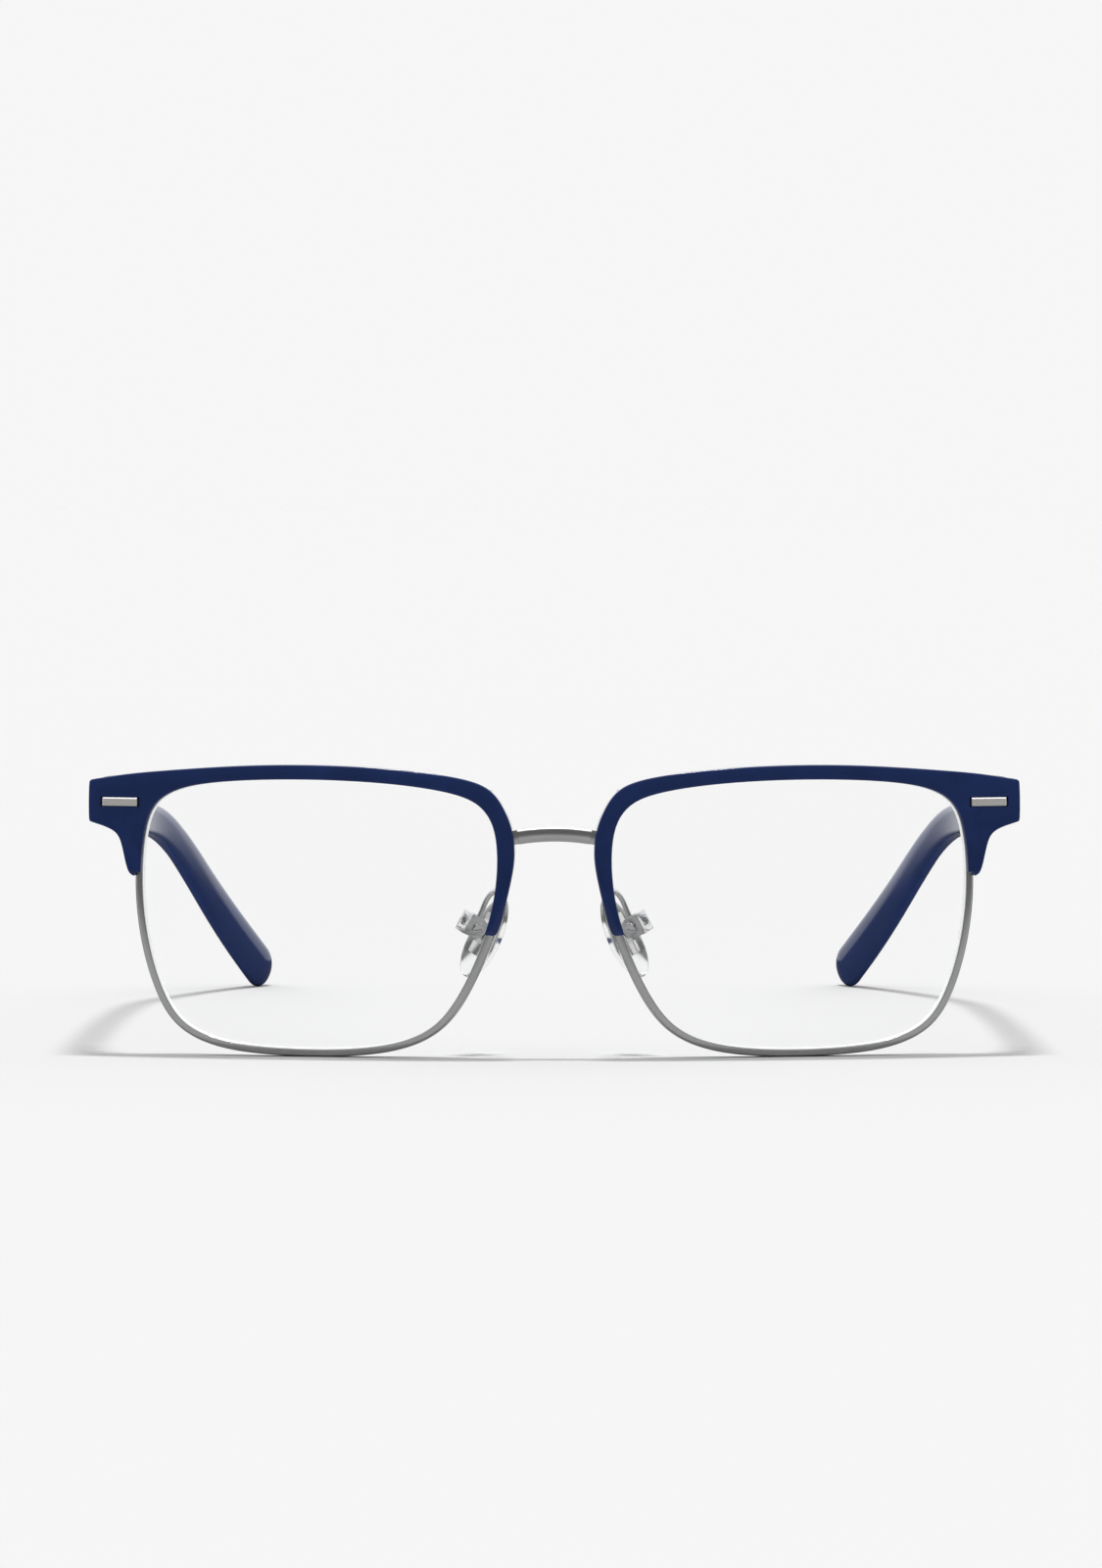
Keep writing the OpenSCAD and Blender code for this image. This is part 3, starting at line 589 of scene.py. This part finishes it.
def pad_sheet():
    """A pad: egg outline, its face and back two shallow spheres, joined by a full round edge."""
    face_radius, back_radius = 30, 60
    a = np.linspace(0, 2 * math.pi, 72, endpoint=False)
    egg = np.stack([PAD_WIDTH / 2 * np.cos(a) * (1 - 0.14 * np.sin(a)),
                    PAD_LENGTH / 2 * np.sin(a)], -1)
    turn = np.linspace(0, math.pi, 41)[:, None]
    share = np.sin(turn)**0.45
    xy = egg[None] * share[..., None]
    square = (xy**2).sum(-1)
    face = 1.0 - (face_radius - np.sqrt(face_radius**2 - square))
    back = -1.1 + (back_radius - np.sqrt(back_radius**2 - square))
    level = np.sign(np.cos(turn)) * np.abs(np.cos(turn))**0.55
    z = (face + back) / 2 + level * (face - back) / 2
    return sheet(from_pad(np.concatenate([xy, z[..., None]], -1)), caps=(False, False))


def arm_sheet():
    """The pad's wire: a flattened section along the goose neck, with a brazed foot."""
    s = np.linspace(0, len(ARM) - 1, 97)
    at, slope = spline(ARM, s)
    slope[0] = [-math.sin(FACE_FORM), math.cos(FACE_FORM), 0]
    slope[-1] = [math.sin(PAD_LEAN), 0, -math.cos(PAD_LEAN)]
    along = unit(slope)
    across = unit(np.cross(along, [1, 0, 0.3]))
    third = np.cross(across, along)
    turn = np.linspace(0, 2 * math.pi, 28, endpoint=False)
    foot = 1 + 0.5 * np.exp(-(s / 0.28)**2)
    wide = (0.5 * foot)[:, None] * np.sign(np.cos(turn)) * np.abs(np.cos(turn))**0.8
    deep = (0.42 * foot)[:, None] * np.sign(np.sin(turn)) * np.abs(np.sin(turn))**0.8
    return sheet(at[:, None] + wide[..., None] * across[:, None] + deep[..., None] * third[:, None])


# ---- hardware ------------------------------------------------------------------------------

def bevelled(node, slot, material, body, width=0.12, angle=38):
    """The CAD node's own shape, welded, with every sharp edge turned over by a small bevel."""
    for prefix, _ in SIDES:
        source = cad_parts[f"{prefix}_{node}"]
        mesh = source.data.copy()
        mesh.materials.clear()
        mesh.materials.append(material)
        mesh.polygons.foreach_set("material_index", [0] * len(mesh.polygons))
        work = bmesh.new()
        work.from_mesh(mesh)
        bmesh.ops.remove_doubles(work, verts=work.verts, dist=2e-7)
        bmesh.ops.dissolve_limit(work, angle_limit=math.radians(1.0), verts=work.verts,
                                 edges=work.edges)
        work.to_mesh(mesh)
        work.free()
        mesh.polygons.foreach_set("use_smooth", [True] * len(mesh.polygons))
        piece = place(f"{prefix}_{node}_finished", mesh, body.format(prefix), slot,
                      [f"{prefix}_{node}"])
        rounding = piece.modifiers.new("edges", "BEVEL")
        rounding.width, rounding.segments = width * MM, 2
        rounding.limit_method, rounding.angle_limit = "ANGLE", math.radians(angle)
        rounding.harden_normals = True
        rounding.use_clamp_overlap = True


def lens_axes(points):
    """Straight lens axes: x towards the temple, y back, z up, from the lens centre."""
    x, y, z = points[..., 0], points[..., 1], points[..., 2]
    return np.stack([LENS_X + x * math.cos(FACE_FORM) - y * math.sin(FACE_FORM),
                     LENS_Y + x * math.sin(FACE_FORM) + y * math.cos(FACE_FORM), LENS_Z + z], -1)


def screw_shells(place_at, origin, axis, shank, head_r, low, high, head, slot=0.28):
    """A slotted screw along its axis: shank from low to high, then a head with a soft crown.

    shank and head_r are radii, head is the head's height and slot the slot's width. The head's
    top is a grid of chords, so that the walls of the slot fall on grid lines.
    """
    axis = np.array(axis, float)
    side = unit(np.cross(axis, [0.3, 0.5, 0.8]))
    other = np.cross(axis, side)

    def put(local):
        return place_at(np.array(origin, float) + local[..., :1] * side + local[..., 1:2] * other
                        + local[..., 2:] * axis)

    turn = np.linspace(0, 2 * math.pi, 40, endpoint=False)
    circle = np.stack([np.cos(turn), np.sin(turn)], -1)
    rows = [(shank * 0.75, low), (shank * 0.8, low), (shank, low + 0.12), (shank, high),
            (head_r * 0.94, high), (head_r, high + 0.06), (head_r, high + head * 0.45)]
    body = np.stack([np.concatenate([circle * r, np.full((40, 1), z)], -1) for r, z in rows])
    half = slot / 2
    flank = np.cos(np.linspace(math.radians(5), math.acos(half / head_r), 12)) * head_r
    x = np.concatenate([-flank, [0.01 - half, half - 0.01], flank[::-1]])
    t = np.concatenate([[-1, -0.98, -0.93], np.linspace(-0.85, 0.85, 13), [0.93, 0.98, 1]])
    y = np.sqrt(head_r**2 - x**2)[:, None] * t
    away = np.clip((x[:, None]**2 + y**2) / head_r**2, 0, 1)
    z = high + head * (0.45 + 0.55 * np.sqrt(1 - away**3))
    z = np.where((np.abs(x) < half)[:, None], high + head * 0.3, z)
    x = np.broadcast_to(x[:, None], y.shape)
    top = np.stack([x, y, z], -1)
    under = np.stack([x, y, np.full(y.shape, high + head * 0.2)], -1)
    return [sheet(put(body)), sheet(put(np.concatenate([top, under[:, ::-1]], 1)))]


# ---- materials -------------------------------------------------------------------------------

def shader(name, **sockets):
    """A material with a Principled shader whose own sockets are set by name."""
    material = bpy.data.materials.new(name)
    material.use_nodes = True
    main = material.node_tree.nodes["Principled BSDF"]
    for socket, value in sockets.items():
        main.inputs[socket.replace("_", " ")].default_value = value
    return material, material.node_tree, main


def pattern(tree, stretch=(1, 1, 1), **settings):
    """Noise on Object coordinates, in millimetres, stretched along the axes."""
    coordinates = tree.nodes.new("ShaderNodeTexCoord")
    mapping = tree.nodes.new("ShaderNodeMapping")
    mapping.inputs["Scale"].default_value = [1 / MM * x for x in stretch]
    texture = tree.nodes.new("ShaderNodeTexNoise")
    for socket, value in settings.items():
        texture.inputs[socket.replace("_", " ")].default_value = value
    tree.links.new(coordinates.outputs["Object"], mapping.inputs["Vector"])
    tree.links.new(mapping.outputs["Vector"], texture.inputs["Vector"])
    return texture.outputs[0]


def spread(tree, value, low, high, start=0.3, stop=0.7, curve="LINEAR"):
    """A value that goes from low to high while another goes from start to stop."""
    node = tree.nodes.new("ShaderNodeMapRange")
    node.interpolation_type = curve
    for name, number in (("From Min", start), ("From Max", stop), ("To Min", low),
                         ("To Max", high)):
        node.inputs[name].default_value = number
    tree.links.new(value, node.inputs["Value"])
    return node.outputs[0]


def tones(tree, value, stops):
    """A colour that follows a value through (position, colour) stops."""
    node = tree.nodes.new("ShaderNodeValToRGB")
    ramp = node.color_ramp.elements
    while len(ramp) < len(stops):
        ramp.new(0.5)
    for element, (position, colour) in zip(ramp, stops):
        element.position, element.color = position, (*colour, 1)
    tree.links.new(value, node.inputs[0])
    return node.outputs[0]


def two_tones(tree, value, dark, light):
    return tones(tree, value, [(0.3, dark), (0.7, light)])


def maths(tree, operation, *values):
    """The result of a maths node; each value is a number or another node's output."""
    node = tree.nodes.new("ShaderNodeMath")
    node.operation = operation
    for socket, value in zip(node.inputs, values):
        if isinstance(value, (int, float)):
            socket.default_value = value
        else:
            tree.links.new(value, socket)
    return node.outputs[0]


def mixed(tree, share, first, second):
    """Two shaders mixed: share 0 gives the first, 1 the second."""
    mix = tree.nodes.new("ShaderNodeMixShader")
    for socket, source in zip(mix.inputs, (share, first, second)):
        tree.links.new(source, socket)
    return mix.outputs[0]


def plain_shader(tree, kind, **sockets):
    """A shader node of this kind, with its sockets set by name."""
    node = tree.nodes.new(kind)
    for socket, value in sockets.items():
        node.inputs[socket].default_value = value
    return node


def bare_material(name):
    """A material with an empty node tree."""
    material = bpy.data.materials.new(name)
    material.use_nodes = True
    material.node_tree.nodes.clear()
    return material, material.node_tree


def finish_tree(tree, source, kind="ShaderNodeOutputMaterial"):
    tree.links.new(source, tree.nodes.new(kind).inputs["Surface"])


def dress(tree, main, colour, polish):
    """Gives a Principled shader its colour and roughness."""
    tree.links.new(colour, main.inputs["Base Color"])
    tree.links.new(polish, main.inputs["Roughness"])


def relief(tree, value, main, strength, distance):
    """A bump `distance` millimetres high, from a pattern."""
    node = tree.nodes.new("ShaderNodeBump")
    node.inputs["Strength"].default_value = strength
    node.inputs["Distance"].default_value = distance * MM
    tree.links.new(value, node.inputs["Height"])
    tree.links.new(node.outputs[0], main.inputs["Normal"])


def metal(name, dark, light, smooth, rough, grain, stretch, depth):
    """Plated metal: fine directional brushing in its roughness and surface, clouds in its tone.

    dark and light are the tones, smooth and rough the roughness at both ends of the brushing,
    grain its scale a millimetre and depth its relief in millimetres.
    """
    material, tree, main = shader(name, Metallic=1.0)
    brushing = pattern(tree, stretch, Scale=grain, Detail=6.0, Roughness=0.65)
    clouds = pattern(tree, Scale=0.22, Detail=3.0)
    dress(tree, main, two_tones(tree, clouds, dark, light), spread(tree, brushing, smooth, rough))
    relief(tree, brushing, main, 0.25, depth)
    return material


def navy_acetate():
    """Polished acetate: deep navy with faint cloudy tone, buffing haze and a clear gloss."""
    material, tree, main = shader("navy_acetate", IOR=1.42, Specular_IOR_Level=0.4,
                                  Coat_Weight=0.12, Coat_Roughness=0.02, Coat_IOR=1.45)
    clouds = pattern(tree, (1, 0.5, 1), Scale=0.16, Detail=4.0, Distortion=0.6)
    haze = pattern(tree, Scale=1.1, Detail=5.0)
    colour = two_tones(tree, clouds, (0.0095, 0.0235, 0.094), (0.0125, 0.0295, 0.122))
    dress(tree, main, colour, spread(tree, haze, 0.055, 0.12))
    relief(tree, pattern(tree, Scale=0.35, Detail=2.0), main, 0.12, 0.012)
    return material


def clear_lens():
    """Coated plastic: almost no reflection face on, a cool sheen at a slant.

    The share of sheen is 0.006 + 0.8 times the facing weight to the power 4.5.
    """
    material, tree = bare_material("clear_lens")
    clear = plain_shader(tree, "ShaderNodeBsdfTransparent", Color=(0.997, 0.998, 0.998, 1))
    gloss = plain_shader(tree, "ShaderNodeBsdfGlossy", Roughness=0.0)
    tint = two_tones(tree, pattern(tree, Scale=0.03, Detail=1.0),
                     (0.86, 0.94, 0.92), (0.9, 0.92, 0.97))
    tree.links.new(tint, gloss.inputs["Color"])
    facing = plain_shader(tree, "ShaderNodeLayerWeight", Blend=0.5)
    steep = maths(tree, "POWER", facing.outputs["Facing"], 4.5)
    sheen = maths(tree, "MULTIPLY_ADD", steep, 0.8, 0.006)
    finish_tree(tree, mixed(tree, sheen, clear.outputs[0], gloss.outputs[0]))
    return material


def ground_edge():
    """The lens's ground bevel: fine frosted white, with a painted glow (a little emission) that
    stands in for light carried through the lens.
    """
    material, tree, main = shader("ground_edge", Roughness=0.55, Emission_Strength=0.25)
    frost = pattern(tree, Scale=14.0, Detail=4.0)
    colour = two_tones(tree, frost, (0.74, 0.77, 0.78), (0.88, 0.9, 0.9))
    tree.links.new(colour, main.inputs["Base Color"])
    relief(tree, frost, main, 0.4, 0.01)
    return material


def clear_silicone():
    """Silicone: clear with a soft skin; lamps pass through it."""
    material, tree, main = shader("clear_silicone", IOR=1.3, Transmission_Weight=1.0)
    skin = pattern(tree, Scale=2.2, Detail=3.0)
    colour = two_tones(tree, skin, (0.93, 0.94, 0.945), (0.985, 0.99, 0.99))
    dress(tree, main, colour, spread(tree, skin, 0.04, 0.13))
    through = plain_shader(tree, "ShaderNodeBsdfTransparent", Color=(0.9, 0.92, 0.93, 1))
    shadow = tree.nodes.new("ShaderNodeLightPath").outputs["Is Shadow Ray"]
    tree.links.new(mixed(tree, shadow, main.outputs[0], through.outputs[0]),
                   tree.nodes["Material Output"].inputs["Surface"])
    return material


GUNMETAL = metal("gunmetal", (0.62, 0.62, 0.625), (0.67, 0.67, 0.675), smooth=0.15, rough=0.2,
                 grain=12.0, stretch=(0.6, 1, 0.6), depth=0.0005)
BAR = metal("satin_inlay", (0.93, 0.92, 0.9), (0.97, 0.965, 0.95), smooth=0.5, rough=0.58,
            grain=6.0, stretch=(0.1, 1, 1.6), depth=0.0015)
NICKEL = metal("hinge_steel", (0.56, 0.56, 0.55), (0.68, 0.68, 0.67), smooth=0.16, rough=0.3,
               grain=3.0, stretch=(1, 0.2, 1), depth=0.0015)
STEEL = metal("steel_screw", (0.66, 0.66, 0.67), (0.78, 0.78, 0.79), smooth=0.08, rough=0.18,
              grain=3.0, stretch=(1, 1, 1), depth=0.001)
NAVY = navy_acetate()
LENS = clear_lens()
GROUND = ground_edge()
SILICONE = clear_silicone()


# ---- assembly ----------------------------------------------------------------------------------

FRONT, ARM_BODY, SWIVEL = "front", "{}_temple_arm", "{}_pad_swivel"

place("bridge_bar", write_mesh("bridge_bar", [bridge_sheet()], 1, [GUNMETAL], 50), FRONT,
      "gunmetal", ["bridge"])
pair("rim", "eyewire", [rim_sheet(), tab_sheet()], FRONT, "gunmetal", [GUNMETAL], 50)
pair("lens", "clear_lens_blank", lens_shells(), FRONT, "clear_lens", [LENS, GROUND], 40)
pair("brow", "brow_piece", [brow_sheet()], FRONT, "navy_acetate", [NAVY], 32)
for prefix, side in SIDES:
    cut_pocket(bpy.data.objects[f"{prefix}_brow_piece"], side)
pair("inlay_bar", "inlay", [inlay_sheet()], FRONT, "satin_inlay", [BAR], 30)
pair("temple", "temple_blade", [temple_sheet()], ARM_BODY, "navy_acetate", [NAVY], 40)
pair("pad", "pad_cushion", [pad_sheet()], SWIVEL, "clear_silicone", [SILICONE])
pair("pad_arm", "pad_wire", [arm_sheet()], FRONT, "gunmetal", [GUNMETAL], 50)
hinge_pin = screw_shells(from_hinge, (0, 0, 0), (0, 0, 1),
                         shank=0.7, head_r=1.1, low=-3.2, high=3.01, head=0.55)
pair("hinge_screw", "hinge_pin", hinge_pin, FRONT, "steel_screw", [STEEL], 30)
leaf_screws = [shell for y in (4.2, 8.0)
               for shell in screw_shells(from_shaft, (0, y, -0.9), (-1, 0, 0),
                                         shank=0.5, head_r=0.8, low=-3.2, high=-0.88, head=0.38)]
pair("temple_screws", "leaf_screws", leaf_screws, ARM_BODY, "steel_screw", [STEEL], 30)
butt_screw = screw_shells(from_shaft, (3.0, 0, 0.6), (0, 1, 0),
                          shank=0.5, head_r=0.8, low=-4.6, high=-1.7, head=0.48)
tab = opening_point(TAB_PLACE, np.array([TAB_REACH]))[0]
nasal_screw = screw_shells(lens_axes, (tab[0], 0, tab[1]), (0, 1, 0),
                           shank=0.38, head_r=0.75, low=2.35, high=5.53, head=0.4)
pair("brow_screws", "brow_fixings", butt_screw + nasal_screw, FRONT, "steel_screw", [STEEL], 30)
pad_pin = screw_shells(from_pad, (0, *PAD_AXIS), (1, 0, 0),
                       shank=0.45, head_r=0.85, low=-1.35, high=1.36, head=0.39, slot=0.24)
pair("pad_screw", "pad_pin", pad_pin, FRONT, "steel_screw", [STEEL], 30)
for node in ("lock_block_upper", "lock_block_lower", "end_piece"):
    bevelled(node, "gunmetal", GUNMETAL, FRONT)
bevelled("pad_box", "gunmetal", GUNMETAL, FRONT, 0.3)
bevelled("hinge_front", "hinge_steel", NICKEL, FRONT, 0.14)
bevelled("hinge_temple", "hinge_steel", NICKEL, ARM_BODY, 0.14)
bevelled("lock_screw", "steel_screw", STEEL, FRONT, 0.08)
bevelled("pad_insert", "hinge_steel", NICKEL, SWIVEL, 0.1)
for prefix, _ in SIDES:
    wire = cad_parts[f"{prefix}_core_wire"]
    for slot in wire.material_slots:
        slot.material = NICKEL


# ---- floor, light and camera -------------------------------------------------------------------

# PALE is the tone of the background; at strength LIT the world lights the floor to that tone
PALE = 0.922
LIT = PALE / 0.8124
LAMP_HEIGHT, LAMP_BACK, LAMP_SHARE = 0.92, 0.075, 0.8
LAMP_SIZE = (0.17, 0.06)
CAMERA_AWAY, CAMERA_HEIGHT, CAMERA_SIDE = 1.0, 0.089, -0.00051
CAMERA_DOWN, CAMERA_LENS = 2.747, 154.4
FLOOR_HALF, FLOOR_DROP = 12.0, 0.00002

# How much darker the floor looks in reflections, from 0.4 m before the glasses to 0.6 m behind
SHADE_FROM, SHADE_TO = FRONT_Y - 400, FRONT_Y + 600
FLOOR_SHADE = [(0.02, 0.88), (0.34, 0.5), (0.42, 0.5), (0.5, 0.86), (0.68, 0.84), (0.95, 0.1)]

# The world's dark side: where it starts and is full, towards the camera and down; its tone
DARK_Y, DARK_Z = (0.5, -0.4), (0.85, 0.45)
DARK_TONE = 0.16


def floor_tone(tree, place):
    """1 / (1 + lamp), with lamp = LAMP_SHARE / (1 + (distance / LAMP_HEIGHT)^2)^2.

    It rises away from the middle as the lamp's light falls off there.
    """
    centre = tree.nodes.new("ShaderNodeVectorMath")
    centre.operation = "SUBTRACT"
    centre.inputs[1].default_value = (0, FRONT_Y * MM + LAMP_BACK, 0)
    distance = tree.nodes.new("ShaderNodeVectorMath")
    distance.operation = "LENGTH"
    tree.links.new(place, centre.inputs[0])
    tree.links.new(centre.outputs[0], distance.inputs[0])
    ratio = maths(tree, "DIVIDE", distance.outputs["Value"], LAMP_HEIGHT)
    widening = maths(tree, "ADD", maths(tree, "MULTIPLY", ratio, ratio), 1.0)
    lamp = maths(tree, "DIVIDE", LAMP_SHARE, maths(tree, "MULTIPLY", widening, widening))
    return maths(tree, "DIVIDE", 1.0, maths(tree, "ADD", 1.0, lamp))


def reflected_share(tree, place):
    """1 for every ray but a glossy one, which sees 1 less FLOOR_SHADE."""
    axes = tree.nodes.new("ShaderNodeSeparateXYZ")
    tree.links.new(place, axes.inputs[0])
    depth = spread(tree, axes.outputs["Y"], 0.0, 1.0, SHADE_FROM * MM, SHADE_TO * MM)
    shade = tones(tree, depth, [(position, (dark, dark, dark)) for position, dark in FLOOR_SHADE])
    glossy = tree.nodes.new("ShaderNodeLightPath").outputs["Is Glossy Ray"]
    return maths(tree, "SUBTRACT", 1.0, maths(tree, "MULTIPLY", glossy, shade))


def floor_material():
    """Pale matt floor, even to the eye and darker in what the glasses reflect."""
    material, tree = bare_material("pale_floor")
    place = tree.nodes.new("ShaderNodeTexCoord").outputs["Object"]
    matt = tree.nodes.new("ShaderNodeBsdfDiffuse")
    colour = maths(tree, "MULTIPLY", floor_tone(tree, place), reflected_share(tree, place))
    tree.links.new(colour, matt.inputs["Color"])
    finish_tree(tree, matt.outputs[0])
    return material


def make_floor():
    h = FLOOR_HALF
    mesh = bpy.data.meshes.new("floor")
    mesh.from_pydata([(-h, -h, 0), (h, -h, 0), (h, h, 0), (-h, h, 0)], [], [(0, 1, 2, 3)])
    mesh.materials.append(floor_material())
    floor = bpy.data.objects.new("floor", mesh)
    bpy.context.scene.collection.objects.link(floor)
    floor.location.z = -FLOOR_DROP


def make_world():
    """Soft studio: pale all round, a darker side behind the camera, plain pale to the eye."""
    world = bpy.data.worlds.new("studio")
    bpy.context.scene.world = world
    world.use_nodes = True
    tree = world.node_tree
    tree.nodes.clear()
    axes = tree.nodes.new("ShaderNodeSeparateXYZ")
    tree.links.new(tree.nodes.new("ShaderNodeTexCoord").outputs["Generated"], axes.inputs[0])
    towards = spread(tree, axes.outputs["Y"], 0.0, 1.0, *DARK_Y, "SMOOTHSTEP")
    low = spread(tree, axes.outputs["Z"], 0.0, 1.0, *DARK_Z, "SMOOTHSTEP")
    tone = spread(tree, maths(tree, "MULTIPLY", towards, low), 1.0, DARK_TONE, 0.0, 1.0)
    lit = plain_shader(tree, "ShaderNodeBackground", Strength=LIT)
    tree.links.new(tone, lit.inputs["Color"])
    seen = plain_shader(tree, "ShaderNodeBackground", Color=(PALE, PALE, PALE, 1))
    path = tree.nodes.new("ShaderNodeLightPath")
    direct = maths(tree, "MAXIMUM", path.outputs["Is Camera Ray"],
                   path.outputs["Is Transmission Ray"])
    finish_tree(tree, mixed(tree, direct, lit.outputs[0], seen.outputs[0]),
                "ShaderNodeOutputWorld")


def make_lamp():
    """One small soft lamp above the front gives the thin shadows."""
    data = bpy.data.lights.new("lamp", "AREA")
    data.shape = "ELLIPSE"
    data.size, data.size_y = LAMP_SIZE
    data.energy = LAMP_SHARE * PALE * math.pi**2 * LAMP_HEIGHT**2
    lamp = bpy.data.objects.new("lamp", data)
    lamp.location = (0, FRONT_Y * MM + LAMP_BACK, LAMP_HEIGHT)
    bpy.context.scene.collection.objects.link(lamp)


def make_camera():
    """In front of the glasses and above the floor, in metres, looking CAMERA_DOWN degrees down."""
    data = bpy.data.cameras.new("camera")
    data.lens, data.sensor_width = CAMERA_LENS, 36
    data.clip_start, data.clip_end = 0.02, 60
    camera = bpy.data.objects.new("camera", data)
    camera.location = (CAMERA_SIDE, FRONT_Y * MM - CAMERA_AWAY, CAMERA_HEIGHT)
    camera.rotation_euler = (math.radians(90 - CAMERA_DOWN), 0, 0)
    bpy.context.scene.collection.objects.link(camera)
    bpy.context.scene.camera = camera


make_floor()
make_world()
make_lamp()
make_camera()
bpy.context.scene.view_settings.view_transform = "Standard"
